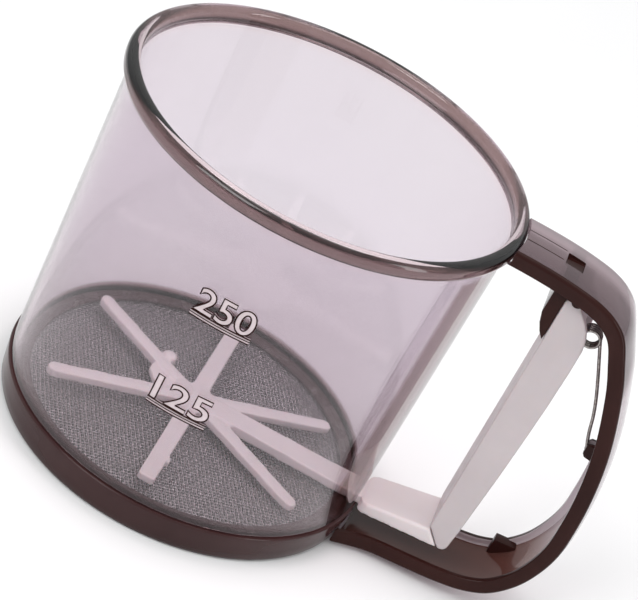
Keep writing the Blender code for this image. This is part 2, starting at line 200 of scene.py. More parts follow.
# ---------------- material helpers
class Nodes:
    """A material's node tree, with short calls to add nodes and links."""

    def __init__(self, name):
        self.material = bpy.data.materials.new(name)
        self.material.use_nodes = True
        self.tree = self.material.node_tree
        self.shader = self.tree.nodes["Principled BSDF"]
        self.output = self.tree.nodes["Material Output"]
        self.coords = self.add("ShaderNodeTexCoord").outputs["Object"]

    def add(self, kind, **settings):
        """A new node, with its settings made."""
        node = self.tree.nodes.new(kind)
        for key, value in settings.items():
            setattr(node, key, value)
        return node

    def link(self, start, end):
        self.tree.links.new(start, end)

    def values(self, **values):
        """Plain values on the Principled shader's own sockets."""
        for key, value in values.items():
            socket = self.shader.inputs[key.replace("_", " ")]
            socket.default_value = value

    def noise(self, scale, detail=3.0, rough=0.55, stretch=None):
        """Noise in object space.  The scale is in features per metre."""
        node = self.add("ShaderNodeTexNoise")
        node.inputs["Scale"].default_value = scale
        node.inputs["Detail"].default_value = detail
        node.inputs["Roughness"].default_value = rough
        source = self.coords
        if stretch:
            mapping = self.add("ShaderNodeMapping")
            mapping.inputs["Scale"].default_value = stretch
            self.link(source, mapping.inputs["Vector"])
            source = mapping.outputs["Vector"]
        self.link(source, node.inputs["Vector"])
        return node.outputs["Fac"]

    def ramp(self, source, *stops):
        """A colour ramp.  Each stop is (place, colour)."""
        node = self.add("ShaderNodeValToRGB")
        elements = node.color_ramp.elements
        while len(elements) < len(stops):
            elements.new(0.5)
        for element, (place, colour) in zip(elements, stops):
            element.position = place
            element.color = (*colour, 1.0)
        self.link(source, node.inputs["Fac"])
        return node.outputs["Color"]

    def spread(self, source, low, high, to_low, to_high):
        """Maps the source from low to high onto to_low to to_high."""
        node = self.add("ShaderNodeMapRange")
        for key, value in (("From Min", low), ("From Max", high), ("To Min", to_low), ("To Max", to_high)):
            node.inputs[key].default_value = value
        self.link(source, node.inputs["Value"])
        return node.outputs["Result"]

    def multiply(self, product, *others):
        """The product of colours."""
        for other in others:
            node = self.add("ShaderNodeMix", data_type="RGBA", blend_type="MULTIPLY")
            node.inputs["Factor"].default_value = 1.0
            self.link(product, node.inputs["A"])
            self.link(other, node.inputs["B"])
            product = node.outputs["Result"]
        return product

    def math(self, operation, first, second):
        """One operation on two sockets or numbers."""
        node = self.add("ShaderNodeMath", operation=operation)
        for socket, value in zip(node.inputs, (first, second)):
            if isinstance(value, (int, float)):
                socket.default_value = value
            else:
                self.link(value, socket)
        return node.outputs[0]

    def between(self, source, low, high):
        """1 where the source is between low and high, and 0 elsewhere."""
        above = self.math("GREATER_THAN", source, low)
        return self.math("MULTIPLY", above, self.math("LESS_THAN", source, high))

    def position(self):
        """X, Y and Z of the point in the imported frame, in metres."""
        node = self.add("ShaderNodeSeparateXYZ")
        self.link(self.coords, node.inputs[0])
        return node.outputs

    def bump(self, height, distance, strength):
        """Relief.  The distance is in metres."""
        node = self.add("ShaderNodeBump")
        node.inputs["Distance"].default_value = distance
        node.inputs["Strength"].default_value = strength
        self.link(height, node.inputs["Height"])
        self.link(node.outputs["Normal"], self.shader.inputs["Normal"])

    def colour(self, source):
        self.link(source, self.shader.inputs["Base Color"])

    def roughness(self, source):
        self.link(source, self.shader.inputs["Roughness"])


def let_light_through(nodes, tint):
    """Light passes the plastic: shadow and diffuse rays go through it, and take its tint."""
    clear = nodes.add("ShaderNodeBsdfTransparent")
    clear.inputs["Color"].default_value = (*tint, 1.0)
    path = nodes.add("ShaderNodeLightPath")
    share = nodes.math("MAXIMUM", path.outputs["Is Shadow Ray"], path.outputs["Is Diffuse Ray"])
    mix = nodes.add("ShaderNodeMixShader")
    nodes.link(share, mix.inputs[0])
    nodes.link(nodes.shader.outputs[0], mix.inputs[1])
    nodes.link(clear.outputs[0], mix.inputs[2])
    nodes.link(mix.outputs[0], nodes.output.inputs["Surface"])


def absorb(nodes, colour, density):
    """Depth tint.  The density is per metre."""
    volume = nodes.add("ShaderNodeVolumeAbsorption")
    volume.inputs["Color"].default_value = (*colour, 1.0)
    volume.inputs["Density"].default_value = density
    nodes.link(volume.outputs[0], nodes.output.inputs["Volume"])


def cup_plastic():
    """Clear mauve-brown plastic, darker and browner at the foot, deeper in the strip by the handle, with
    painted shade on the rim's bead.
    """
    nodes = Nodes("tinted_cup")
    nodes.values(Transmission_Weight=1.0, IOR=1.49, Specular_IOR_Level=0.2)
    x, y, z = nodes.position()
    height = nodes.spread(z, 0.0, RIM_TOP * MM, 0.0, 1.0)
    by_height = nodes.ramp(
        height,
        (0.0, (0.15, 0.095, 0.10)), (0.098, (0.19, 0.125, 0.13)),
        (0.106, (0.77, 0.735, 0.76)), (0.55, (0.80, 0.76, 0.81)),
        (0.93, (0.80, 0.76, 0.80)), (0.957, (0.80, 0.72, 0.74)), (1.0, (0.80, 0.71, 0.725)),
    )
    streaks = nodes.noise(18.0, 2.0, 0.5, (1.0, 1.0, 0.25))
    tone = nodes.ramp(streaks, (0.3, (0.97, 0.96, 0.97)), (0.7, WHITE))

    from_axis = nodes.math("SUBTRACT", x, AXIS_X * MM)
    turn = nodes.math("ARCTAN2", y, from_axis)
    in_turn = nodes.between(turn, *(math.radians(edge) for edge in BAND_TURN))
    in_height = nodes.between(z, *(edge * MM for edge in BAND_Z))
    in_band = nodes.math("MULTIPLY", in_turn, in_height)
    deeper = nodes.ramp(in_band, (0.0, WHITE), (1.0, (0.62, 0.56, 0.53)))

    squares = [nodes.math("MULTIPLY", side, side) for side in (from_axis, y)]
    edges = [(radius * MM) ** 2 for radius in (BEAD_SHADE_R, RIM_R)]
    outward = nodes.spread(nodes.math("ADD", *squares), *edges, 0.0, 1.0)
    # Painted shade on the rim's bead, outside BEAD_SHADE_R: a near-black line, then a brown outer face,
    # partly the thick bead's deeper tint and partly painted shade.
    bead = nodes.ramp(
        outward,
        (0.0, WHITE), (0.12, (0.012, 0.006, 0.006)), (0.6, (0.016, 0.008, 0.007)),
        (0.85, (0.10, 0.055, 0.05)), (1.0, (0.13, 0.077, 0.068)),
    )
    nodes.colour(nodes.multiply(by_height, tone, deeper, bead))
    nodes.roughness(nodes.spread(nodes.noise(60.0), 0.3, 0.7, 0.015, 0.05))
    nodes.bump(nodes.noise(30.0, 0.0, 0.4, (1.0, 1.0, 0.4)), 0.0001, 0.12)
    let_light_through(nodes, (0.97, 0.95, 0.96))
    absorb(nodes, (0.56, 0.38, 0.42), 70.0)
    return nodes.material


def mark_plastic():
    """The faces of the raised volume marks, a little paler where the mould was matt."""
    nodes = Nodes("tinted_marks")
    nodes.values(Transmission_Weight=0.3, IOR=1.49)
    fleck = nodes.noise(700.0, 2.0)
    nodes.colour(nodes.ramp(fleck, (0.3, (0.70, 0.60, 0.62)), (0.7, (0.80, 0.70, 0.72))))
    nodes.roughness(nodes.spread(fleck, 0.3, 0.7, 0.10, 0.2))
    nodes.bump(nodes.noise(900.0, 2.0), 0.00002, 0.5)
    let_light_through(nodes, (0.8, 0.76, 0.77))
    return nodes.material


def dark_plastic(name, deep, pale, transmission, rough=0.1, shine=0.5):
    """Thick tinted plastic, which looks brown and nearly opaque; in near-black colours it is painted shade.
    """
    nodes = Nodes(name)
    nodes.values(Transmission_Weight=transmission, IOR=1.45, Specular_IOR_Level=shine)
    cloud = nodes.noise(30.0, 3.0, 0.6)
    nodes.colour(nodes.ramp(cloud, (0.3, deep), (0.75, pale)))
    nodes.roughness(nodes.spread(nodes.noise(140.0, 4.0), 0.3, 0.7, rough * 0.6, rough * 1.7))
    nodes.bump(nodes.noise(260.0, 3.0), 0.00003, 0.35)
    let_light_through(nodes, pale)
    return nodes.material


def web_plastic():
    """The handle's web: clear on the grip, a little darker at the top, with painted shade: brown on the
    lower limb under the trigger and darker on the top limb's near half.
    """
    nodes = Nodes("tinted_web")
    nodes.values(Transmission_Weight=0.5, IOR=1.45, Specular_IOR_Level=0.2)
    _, y, z = nodes.position()
    height = nodes.spread(z, 0.0, RIM_TOP * MM, 0.0, 1.0)
    # Painted shade: brown low down, on the lower limb under the trigger.
    by_height = nodes.ramp(
        height,
        (0.0, (0.10, 0.036, 0.027)), (0.1, (0.13, 0.055, 0.045)), (0.16, (0.24, 0.15, 0.14)),
        (0.3, (0.60, 0.54, 0.57)), (0.75, (0.60, 0.53, 0.56)),
        (0.9, (0.52, 0.44, 0.465)), (1.0, (0.50, 0.42, 0.445)),
    )
    half = HANDLE_HALF[0] * MM
    across = nodes.spread(y, -half, half, 0.0, 1.0)
    on_grip = nodes.spread(height, 0.72, 0.85, 1.0, 0.0)    # keeps the near half's shade off the grip
    # Painted shade on the top limb's near half.
    near_shade = nodes.ramp(
        nodes.math("ADD", across, on_grip),
        (0.1, (0.30, 0.255, 0.265)), (0.52, (0.42, 0.37, 0.38)),
        (0.74, (0.95, 0.92, 0.93)), (1.0, WHITE),
    )
    cloud = nodes.ramp(nodes.noise(35.0, 3.0), (0.3, (0.88, 0.87, 0.87)), (0.7, WHITE))
    nodes.colour(nodes.multiply(by_height, near_shade, cloud))
    nodes.roughness(nodes.spread(nodes.noise(140.0, 4.0), 0.3, 0.7, 0.05, 0.12))
    nodes.bump(nodes.noise(120.0, 2.0), 0.00004, 0.2)
    let_light_through(nodes, (0.6, 0.52, 0.55))
    return nodes.material


def pale_plastic(name, deep, pale):
    """Opaque pink-white plastic, satin, with painted shade darkening its inner corners."""
    nodes = Nodes(name)
    nodes.values(IOR=1.47, Subsurface_Weight=0.12, Subsurface_Scale=0.0015)
    cloud = nodes.noise(40.0, 4.0, 0.6)
    tone = nodes.ramp(cloud, (0.3, deep), (0.7, pale))
    # Painted shade: inner corners, where pointiness is low, are darker.
    edge = nodes.add("ShaderNodeNewGeometry").outputs["Pointiness"]
    corner_shade = nodes.ramp(edge, (0.42, (0.86, 0.84, 0.84)), (0.5, (0.97, 0.97, 0.97)), (0.58, WHITE))
    nodes.colour(nodes.multiply(tone, corner_shade))
    nodes.roughness(nodes.spread(nodes.noise(220.0, 4.0), 0.3, 0.7, 0.34, 0.52))
    nodes.bump(nodes.noise(1500.0, 2.0), 0.00002, 0.4)
    return nodes.material


def steel(name, low, high, rough, stretch=None):
    """Drawn steel with fine lines along the wire."""
    nodes = Nodes(name)
    nodes.values(Metallic=1.0)
    lines = nodes.noise(900.0, 3.0, 0.6, stretch)
    nodes.colour(nodes.ramp(lines, (0.3, low), (0.7, high)))
    nodes.roughness(nodes.spread(lines, 0.3, 0.7, rough * 0.8, rough * 1.3))
    nodes.bump(lines, 0.000015, 0.4)
    return nodes.material


def floor_paint():
    """Plain pale matt paint."""
    nodes = Nodes("studio_floor")
    fleck = nodes.noise(6.0, 3.0)
    nodes.colour(nodes.ramp(fleck, (0.3, (0.86, 0.86, 0.865)), (0.7, (0.88, 0.88, 0.885))))
    nodes.roughness(nodes.spread(fleck, 0.3, 0.7, 0.65, 0.8))
    nodes.values(Specular_IOR_Level=0.2)
    return nodes.material


# ---------------- mesh helpers
def raw(name, points, faces):
    """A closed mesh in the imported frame, faces out, from layout millimetres."""
    mesh = bpy.data.meshes.new(name)
    mesh.from_pydata([((x + AXIS_X) * MM, y * MM, z * MM) for x, y, z in points], [], faces)
    bm = bmesh.new()
    bm.from_mesh(mesh)
    bmesh.ops.recalc_face_normals(bm, faces=bm.faces)
    bm.to_mesh(mesh)
    bm.free()
    obj = bpy.data.objects.new(name, mesh)
    bpy.context.scene.collection.objects.link(obj)
    return obj


def apply_modifiers(obj):
    """The object's mesh becomes what its modifiers make of it."""
    graph = bpy.context.evaluated_depsgraph_get()
    made = bpy.data.meshes.new_from_object(obj.evaluated_get(graph), depsgraph=graph)
    obj.modifiers.clear()
    obj.data = made
    return obj


def combine(obj, tool, operation):
    """An exact Boolean, applied, which uses the tool up."""
    change = obj.modifiers.new(operation.lower(), "BOOLEAN")
    change.operation = operation
    change.solver = "EXACT"
    change.object = tool
    apply_modifiers(obj)
    bpy.data.objects.remove(tool)
    return obj


def join(objs, name):
    """Several closed shells in one mesh."""
    bm = bmesh.new()
    for obj in objs:
        bm.from_mesh(obj.data)
        bpy.data.objects.remove(obj)
    mesh = bpy.data.meshes.new(name)
    bm.to_mesh(mesh)
    bm.free()
    made = bpy.data.objects.new(name, mesh)
    bpy.context.scene.collection.objects.link(made)
    return made


def moulded(obj, voxel, passes):
    """Melts shells into one skin, whose edges and inner corners are softly rounded."""
    skin = obj.modifiers.new("skin", "REMESH")
    skin.mode = "VOXEL"
    skin.voxel_size = voxel * MM
    skin.use_smooth_shade = True
    soft = obj.modifiers.new("soft", "SMOOTH")
    soft.factor = 0.5
    soft.iterations = passes
    return apply_modifiers(obj)


def rounded(obj, width, segments=3, angle=35.0):
    """Round edges of a width in millimetres, applied."""
    soft = obj.modifiers.new("round", "BEVEL")
    soft.width = width * MM
    soft.segments = segments
    soft.limit_method = "ANGLE"
    soft.angle_limit = math.radians(angle)
    return apply_modifiers(obj)


def finish_piece(obj, body, nodes, finish, smooth=35.0):
    obj.data.materials.clear()
    obj.data.materials.append(finish)
    obj.data.shade_smooth()
    obj.data.set_sharp_from_angle(angle=math.radians(smooth))
    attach(obj, body)
    if nodes:
        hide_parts(*nodes)
    return obj


def lofted(rings, closed=False):
    """Points and faces of the body through equal rings, capped unless it closes on itself."""
    count = len(rings[0])
    points = [p for ring in rings for p in ring]
    faces = []
    spans = len(rings) if closed else len(rings) - 1
    for i in range(spans):
        after = (i + 1) % len(rings)
        for j in range(count):
            k = (j + 1) % count
            faces.append((i * count + j, i * count + k, after * count + k, after * count + j))
    if not closed:
        faces.append(tuple(range(count)))
        faces.append(tuple(range(len(points) - count, len(points))))
    return points, faces


def turned(profile, steps):
    """The ring that a closed (radius, height) profile makes round the cup's axis."""
    rings = []
    for i in range(steps):
        turn = 2 * math.pi * i / steps
        rings.append([(r * math.cos(turn), r * math.sin(turn), z) for r, z in profile])
    return lofted(rings, closed=True)


def side_prism(outline, y0, y1):
    """An (x, z) outline carried from y0 to y1."""
    return lofted([[(x, y, z) for x, z in outline] for y in (y0, y1)])


def plan_prism(outline, z0, z1):
    """An (x, y) outline carried from z0 to z1."""
    return lofted([[(x, y, z) for x, y in outline] for z in (z0, z1)])


def block(x0, x1, y0, y1, z0, z1):
    """A box, with x, y and z given as from and to."""
    return plan_prism([(x0, y0), (x1, y0), (x1, y1), (x0, y1)], z0, z1)


def arc(cx, cy, radius, start, end, steps):
    """Points on an arc, both ends included.  The angles are in degrees."""
    found = []
    for i in range(steps + 1):
        a = math.radians(start + (end - start) * i / steps)
        found.append((cx + radius * math.cos(a), cy + radius * math.sin(a)))
    return found


def circle(cx, cy, radius, steps):
    """Points round a circle, each one once."""
    return arc(cx, cy, radius, 0, 360, steps)[:-1]


def cross_rod(x, z, sections, steps=32):
    """A round rod along Y through (y, radius) sections."""
    return lofted([[(a, y, b) for a, b in circle(x, z, r, steps)] for y, r in sections])


def smooth_path(knots, parts):
    """A Catmull-Rom curve through knots, with that many parts between two."""
    knots = [Vector(k) for k in knots]
    found = []
    last = len(knots) - 1
    for i in range(last):
        p0, p1, p2, p3 = knots[max(i - 1, 0)], knots[i], knots[i + 1], knots[min(i + 2, last)]
        for j in range(parts):
            t = j / parts
            found.append(0.5 * (
                2 * p1 + (p2 - p0) * t + (2 * p0 - 5 * p1 + 4 * p2 - p3) * t ** 2
                + (3 * p1 - p0 - 3 * p2 + p3) * t ** 3
            ))
    found.append(knots[-1])
    return found


# ---------------- cup, marks and rings
def make_cup(finish):
    """Wall, rolled rim and rebated foot, in one turned skin."""
    wall = []
    for i in range(WALL_SPANS + 1):
        t = i / WALL_SPANS
        z = REBATE_Z + REBATE_SOFT + (WALL_TOP_Z - REBATE_Z - REBATE_SOFT) * t
        wall.append((WALL_LOW_R + (WALL_TOP_R - WALL_LOW_R) * t, z))
    bead = [
        (WALL_TOP_R, WALL_TOP_Z), (51.1, 91.9), (52.0, 92.6), (RIM_R, 93.7), (RIM_R, 94.9), (52.1, 95.8),
        (51.3, 96.35), (50.4, RIM_TOP), (49.6, 96.3), (MOUTH_R, 95.6), (MOUTH_R - 0.02, 94.0),
        (MOUTH_R, MOUTH_Z),
    ]
    bead = [(min(p.x, RIM_R), min(p.y, RIM_TOP)) for p in smooth_path(bead, 4)]
    bore = []
    for i in range(1, WALL_SPANS + 1):
        t = i / WALL_SPANS
        bore.append((MOUTH_R + (BORE_R - MOUTH_R) * t, MOUTH_Z + (REBATE_Z - MOUTH_Z) * t))
    foot = [
        (BORE_R, CUP_LOW_Z + 0.2), (BORE_R + 0.2, CUP_LOW_Z), (REBATE_R - 0.15, CUP_LOW_Z),
        (REBATE_R, CUP_LOW_Z + 0.15), (REBATE_R, REBATE_Z), (WALL_LOW_R - 0.2, REBATE_Z),
    ]

    cup = raw("cup_shell", *turned(foot + wall + bead[1:] + bore, STEPS))
    notch = raw("notch", *block(*SLOT_X, -SLOT_HALF, SLOT_HALF, SLOT_LOW, SLOT_TOP))
    rounded(notch, SLOT_SOFT)
    combine(cup, notch, "DIFFERENCE")
    return finish_piece(cup, "sifter", ["cup_body"], finish)


def wall_radius(z):
    """Outer radius of the wall at a height."""
    return WALL_LOW_R + (WALL_TOP_R - WALL_LOW_R) * (z - REBATE_Z) / (WALL_TOP_Z - REBATE_Z)


def on_wall(across, z, proud):
    """A point proud of the near wall, so far across from the marks' middle."""
    radius = wall_radius(z) + proud
    turn = math.radians(MARK_TURN) + across / wall_radius(z)
    return (radius * math.cos(turn), radius * math.sin(turn), z)


def outline_loops(mesh):
    """The closed outlines of a flat mesh, each a list of its points in order."""
    used = {}
    for face in mesh.polygons:
        for key in face.edge_keys:
            used[key] = used.get(key, 0) + 1
    beside = {}
    for (a, b), count in used.items():
        if count == 1:
            beside.setdefault(a, []).append(b)
            beside.setdefault(b, []).append(a)
    loops = []
    left = set(beside)
    while left:
        here = min(left)
        before = None
        loop = []
        while here is not None and here in left:
            left.discard(here)
            loop.append(mesh.vertices[here].co.copy())
            ahead = [n for n in beside[here] if n != before and n in left]
            before, here = here, (min(ahead) if ahead else None)
        loops.append(loop)
    return loops


def bead_on_wall(path, radius, proud, closed, sides=6):
    """A thin bead laid on the wall along (across, height) points."""
    count = len(path)
    rings = []
    for i, (u, v) in enumerate(path):
        ahead = path[(i + 1) % count] if closed else path[min(i + 1, count - 1)]
        behind = path[i - 1] if closed else path[max(i - 1, 0)]
        along = (Vector(ahead) - Vector(behind)).normalized()
        ring = []
        for j in range(sides):
            a = 2 * math.pi * j / sides
            side = radius * math.cos(a)
            ring.append(on_wall(u - along.y * side, v + along.x * side, proud + radius * math.sin(a)))
        rings.append(ring)
    return raw("bead", *lofted(rings, closed=closed))


def flat_digits(text):
    """The digits' faces as a flat welded mesh, in the font's own units."""
    curve = bpy.data.curves.new(f"numerals_{text}", "FONT")
    curve.body = text
    curve.size = 1.0
    curve.resolution_u = 5
    curve.offset = 0.02
    glyphs = bpy.data.objects.new(f"glyphs_{text}", curve)
    bpy.context.scene.collection.objects.link(glyphs)
    graph = bpy.context.evaluated_depsgraph_get()
    flat = bpy.data.meshes.new_from_object(glyphs.evaluated_get(graph), depsgraph=graph)
    bpy.data.objects.remove(glyphs)
    bm = bmesh.new()
    bm.from_mesh(flat)
    bmesh.ops.remove_doubles(bm, verts=bm.verts, dist=1e-5)
    bm.to_mesh(flat)
    bm.free()
    return flat


def make_numerals(text, line_z, face_finish, shade_finish):
    """Raised numerals with a dark edge of painted shade, over a double line, wrapped on the wall."""
    flat = flat_digits(text)
    co = np.array([v.co for v in flat.vertices])
    low, high = co.min(0), co.max(0)

    def placed(p):
        across = ((p[0] - low[0]) / (high[0] - low[0]) - 0.5) * MARK_WIDE
        return across, line_z + MARK_LIFT + (p[1] - low[1]) / (high[1] - low[1]) * MARK_TALL

    points = []
    for proud in (MARK_PROUD, -MARK_SINK):
        points += [on_wall(*placed(p), proud) for p in co]
    count = len(co)
    faces = []
    for face in flat.polygons:
        faces.append(tuple(face.vertices))
        faces.append(tuple(v + count for v in reversed(face.vertices)))
    edges = {}      # each face's directed edges, in order; an edge on the outline has no opposite
    for face in flat.polygons:
        corners = list(face.vertices)
        for edge in zip(corners, corners[1:] + corners[:1]):
            edges[edge] = True
    faces += [(b, a, a + count, b + count) for a, b in edges if (b, a) not in edges]
    numerals = raw(f"volume_mark_{text}", points, faces)
    finish_piece(numerals, "sifter", [], face_finish, smooth=30.0)

    # Dark beads of painted shade along the digits' outlines and on the line.
    beads = []
    for loop in outline_loops(flat):
        path = [placed(p) for p in loop]
        beads.append(bead_on_wall(path, EDGE_R, MARK_PROUD, True))
    half = MARK_WIDE / 2 + 0.3
    stations = [half * (2 * i / LINE_SPANS - 1) for i in range(LINE_SPANS + 1)]
    for height, radius in LINE_EDGES:
        path = [(across, line_z + height) for across in stations]
        beads.append(bead_on_wall(path, radius, MARK_PROUD, False))
    shade_edge = join(beads, f"volume_shade_edge_{text}")
    finish_piece(shade_edge, "sifter", [], shade_finish, smooth=60.0)

    section = [
        (-0.72, -MARK_SINK), (-0.72, 0.28), (-0.58, 0.4), (-0.12, 0.4), (0.0, 0.24), (0.12, 0.24),
        (0.22, 0.4), (0.5, 0.4), (0.66, 0.28), (0.66, -MARK_SINK),
    ]
    rings = [[on_wall(across, line_z + v, out) for v, out in section] for across in stations]
    line = raw(f"volume_line_{text}", *lofted(rings))
    finish_piece(line, "sifter", [], face_finish, smooth=50.0)


def make_base_ring(finish):
    """Foot ring with a lip round the cup's foot and a flange under the sieve."""
    profile = [
        (46.1, 0.0), (47.4, 0.0), (48.0, 0.35), (48.4, 1.2), (48.63, 3.4), (48.87, 5.65), (RING_R, 7.9),
        (RING_R - 0.25, RING_LIP_Z), (RING_LIP_R, RING_LIP_Z), (RING_LIP_R, FLANGE_Z[1]),
        (FLANGE_R, FLANGE_Z[1]), (FLANGE_R, FLANGE_Z[0]), (46.1, FLANGE_Z[0]),
    ]
    ring = raw("base_ring_shell", *turned(profile, STEPS))
    rounded(ring, 0.22, 3, 20.0)
    return finish_piece(ring, "sifter", ["base_ring"], finish)


def make_retaining_ring(finish):
    """Clamp ring over the sieve's edge, with a shallow groove in its top."""
    low, high = RETAINER_Z
    profile = [
        (RETAINER_BORE, low), (RETAINER_R, low), (RETAINER_R, high - 0.12), (RETAINER_R - 0.12, high),
        (44.9, high), (44.7, high - 0.14), (44.4, high - 0.14), (44.2, high), (RETAINER_BORE + 0.4, high),
        (RETAINER_BORE + 0.1, high - 0.12), (RETAINER_BORE, high - 0.3),
    ]
    ring = raw("mesh_ring", *turned(profile, STEPS))
    return finish_piece(ring, "sifter", ["mesh_retaining_ring"], finish, smooth=25.0)


def make_weave(name, middle_z, reach_r, shift, replaced, finish):
    """Plain weave: each wire passes over and under the wires that cross it."""
    radius = WEAVE_THICK * WIRE_SHARE
    rise = WEAVE_THICK / 2 - radius
    turn = Matrix.Rotation(math.radians(WEAVE_TURN), 2)
    points = []
    faces = []
    sides = 4
    count = int(reach_r / WEAVE_PITCH)
    half_pitch = WEAVE_PITCH / 2
    for direction in (0, 1):
        for i in range(-count, count + 1):
            offset = (i + shift) * WEAVE_PITCH
            reach = math.sqrt(max(reach_r ** 2 - offset ** 2, 0.0))
            half = int(reach / half_pitch)
            if half < 2:
                continue
            start = len(points)
            for j in range(-half, half + 1):
                along = j * half_pitch
                wave = math.cos(math.pi * (j / 2 + i)) * rise * (1 if direction == 0 else -1)
                for s in range(sides):
                    a = math.pi * (2 * s + 1) / sides
                    side = offset + radius * math.cos(a)
                    flat = Vector((side, along)) if direction == 0 else Vector((along, side))
                    flat = turn @ flat
                    points.append((flat.x, flat.y, middle_z + wave + radius * math.sin(a)))
            rings = 2 * half + 1
            for j in range(rings - 1):
                for s in range(sides):
                    k = (s + 1) % sides
                    near = start + j * sides
                    far = near + sides
                    faces.append((near + s, near + k, far + k, far + s))
            faces.append(tuple(start + s for s in range(sides)))
            faces.append(tuple(start + (rings - 1) * sides + s for s in range(sides)))
    weave = raw(name, points, faces)
    return finish_piece(weave, "sifter", replaced, finish, smooth=120.0)


# ---------------- agitator
def star_outline(arms, fillet):
    """Outline of arms round a hub: (angle, half-width at root, at tip, reach, square end)."""
    found = []
    for index, (angle, root, tip, reach, squared) in enumerate(arms):
        a = math.radians(angle)
        along = Vector((math.cos(a), math.sin(a)))
        left = Vector((-along.y, along.x))
        if squared:
            r = ARM_CORNER_R
            end = arc(reach - r, -tip + r, r, -90, 0, 4) + arc(reach - r, tip - r, r, 0, 90, 4)
        else:
            end = arc(reach - tip, 0.0, tip, -90, 90, 12)
        found += [along * u + left * v for u, v in end]
        after = arms[(index + 1) % len(arms)]
        b = math.radians(after[0])
        next_along = Vector((math.cos(b), math.sin(b)))
        next_right = Vector((next_along.y, -next_along.x))
        turn = along.cross(next_along)
        offset = next_right * after[1] - left * root
        corner = left * root + along * (offset.cross(next_along) / turn)
        start = corner + along * fillet
        stop = corner + next_along * fillet
        for i in range(9):
            t = i / 8
            found.append(start * (1 - t) ** 2 + corner * 2 * t * (1 - t) + stop * t ** 2)
    return [tuple(p) for p in found]


def half_round_arm(angle, root, tip, reach):
    """A ridge along a diagonal arm, so that its top is half round."""
    a = math.radians(angle)
    along = Vector((math.cos(a), math.sin(a)))
    left = Vector((-along.y, along.x))
    rings = []
    straight = reach - tip - RIDGE_START
    stations = [(RIDGE_START, root - 0.55)]
    stations += [(RIDGE_START + straight * i / 6, root - 0.55 + (tip - root) * i / 6) for i in range(1, 7)]
    for t in (0.5, 0.95, 1.3):
        stations.append((reach - tip + tip * math.sin(t), (tip - 0.35) * math.cos(t) + 0.06))
    for u, half in stations:
        ring = []
        for k in range(9):
            b = math.pi * k / 8
            p = along * u + left * (-half * math.cos(b))
            ring.append((p.x, p.y, ARM_TOP_Z - ARM_RISE * p.x - 0.35 + 0.75 * (half / root) * math.sin(b)))
        rings.append(ring)
    return raw("ridge", *lofted(rings))


def make_agitator(finish):
    """Six-armed star with its hub, knob, tab, pull arm and eyed tongue, in one moulding."""
    arms = [            # angle, half-width at the hub and at the tip, reach, square end
        (0.0, 3.4, 3.4, 18.0, True),    # the hub's front, which the pull arm leaves from
        (30.0, 2.15, 1.85, ARM_R, False),
        (90.0, 2.35, 2.15, ARM_R, True),
        (150.0, 2.15, 1.85, ARM_R, False),
        (210.0, 2.15, 1.85, ARM_R, False),
        (270.0, 2.35, 2.15, ARM_R, True),
        (330.0, 2.15, 1.85, ARM_R, False),
    ]
    outline = star_outline(arms, ARM_FILLET)
    low = [(x, y, max(ARM_LOW_Z, ARM_TOP_Z - ARM_DEPTH - ARM_RISE * x)) for x, y in outline]
    top = [(x, y, ARM_TOP_Z - ARM_RISE * x) for x, y in outline]
    parts = [raw("star", *lofted([low, top]))]
    for angle, root, tip, reach, squared in arms:
        if not squared:
            parts.append(half_round_arm(angle, root, tip, reach))

    rings = []
    for x, half, high in ((1.5, 2.4, PULL_TOP_Z[0]), (4.0, 3.2, PULL_TOP_Z[0]), (52.5, 4.2, PULL_TOP_Z[1])):
        rings.append([(x, -half, PULL_LOW_Z), (x, half, PULL_LOW_Z), (x, half, high), (x, -half, high)])
    parts.append(raw("pull", *lofted(rings)))

    stations = [        # x of the top and of the underside, half-width, lowest and highest z
        (49.2, 49.2, 5.6, 8.70, 11.2), (49.7, 49.6, 6.6, 8.65, 11.45),
        (51.0, 50.8, 7.2, 8.60, 11.75), (67.9, 71.4, TRIGGER_HALF, 10.75, 14.7),
    ]
    rings = []
    for x_top, x_low, half, lowest, highest in stations:
        rings.append([
            (x_low, -half, lowest), (x_top + 0.4, -half, highest - 0.5), (x_top, -half + 0.5, highest),
            (x_top, half - 0.5, highest), (x_top + 0.4, half, highest - 0.5), (x_low, half, lowest),
        ])
    parts.append(raw("strip", *lofted(rings)))

    web = [(-3.0, -4.2), (-9.5, -3.6), (-11.8, -1.0), (-13.9, 2.2), (-14.0, 4.6), (-12.4, 7.6), (-3.0, 4.0)]
    parts.append(raw("hub_web", *plan_prism(web, ARM_LOW_Z + 1.1, 11.0)))
    knob = []
    for r, z in ((2.05, ARM_LOW_Z + 1.0), (2.05, 11.5), (1.85, 12.0), (1.4, 12.35), (0.7, 12.5)):
        knob.append([(x, y, z) for x, y in circle(-11.2, 10.2, r, 24)])
    parts.append(raw("knob", *lofted(knob)))
    parts.append(raw("tab", *block(1.0, 2.95, -30.45, -28.35, ARM_LOW_Z + 1.0, 10.75)))

    tongue = [
        (64.0, 10.5), (73.3, 10.5), (74.1, 11.3), (74.1, 13.6), (73.1, 14.6), (66.9, 14.4), (64.0, 12.5),
    ]
    inner = TRIGGER_HALF - CHEEK - 0.4
    eyed = raw("tongue", *side_prism(tongue, -inner, inner))
    eye = arc(HINGE[0], HINGE[1], HINGE_BORE_R, -180, 0, 12)
    eye += arc(HINGE[0], HINGE[1] + EYE_RISE, HINGE_BORE_R, 0, 180, 12)
    combine(eyed, raw("eye", *side_prism(eye, -CUT_HALF, CUT_HALF)), "DIFFERENCE")
    parts.append(eyed)
    star = moulded(join(parts, "agitator_star"), SKIN_VOXEL, SKIN_PASSES)
    return finish_piece(star, "agitator", ["agitator"], finish, smooth=180.0)


